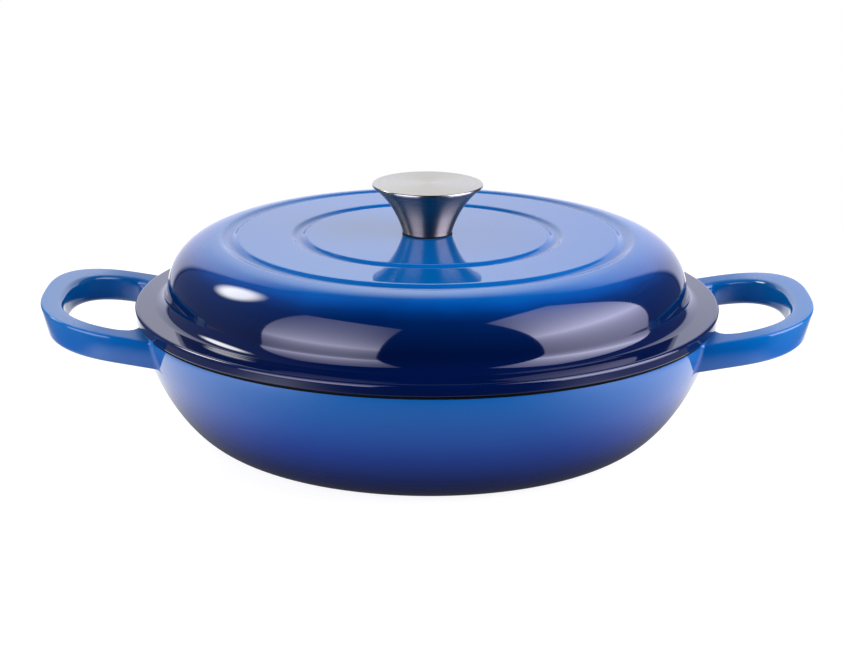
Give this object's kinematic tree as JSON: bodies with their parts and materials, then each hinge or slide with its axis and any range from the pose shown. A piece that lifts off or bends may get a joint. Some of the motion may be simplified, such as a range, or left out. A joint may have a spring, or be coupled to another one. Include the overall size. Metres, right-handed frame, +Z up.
{
  "type": "shallow dutch oven",
  "caption": "Wide shallow enamelled cast iron braiser with cast loop handles, a domed lid that lifts off and a flared steel knob held by a screw from below.",
  "frame": {"origin": "middle of the face that the pot stands on", "axes": "+X through the two handles, +Y to the back, +Z up"},
  "size_m": [0.3948, 0.3, 0.1294],
  "materials": {
    "pot_enamel": "gloss blue vitreous enamel outside, pale enamel inside, matt black rim",
    "lid_enamel": "gloss blue vitreous enamel, darker towards the flange",
    "gasket_rubber": "matt black",
    "knob_steel": "satin stainless steel",
    "cap_steel": "turned satin stainless steel with a polished edge",
    "fastening_steel": "plain stainless steel"
  },
  "bodies": {
    "pot": {"pot": "pot_enamel"},
    "lid": {"lid": "lid_enamel", "knob_gasket": "gasket_rubber"},
    "knob": {"knob_shell": "knob_steel", "knob_cap": "cap_steel", "knob_boss": "fastening_steel"},
    "screw": {"knob_screw": "fastening_steel", "lock_washer": "fastening_steel", "flat_washer": "fastening_steel"}
  },
  "joints": [
    {"name": "lid_lift", "type": "slide", "parent": "pot", "child": "lid", "axis": [0, 0, 1], "range_m": [0, 0.15]},
    {"name": "screw_turn", "type": "hinge", "parent": "lid", "child": "screw", "pos_m": [0, 0, 0.0956], "axis": [0, 0, -1], "range_deg": [0, 3240]},
    {"name": "knob_rise", "type": "slide", "parent": "lid", "child": "knob", "axis": [0, 0, 1], "range_m": [0, 0.009]}
  ],
  "couplings": [
    {"joint": "screw_turn", "follows": "knob_rise", "rad_per_m": 6283.2}
  ]
}
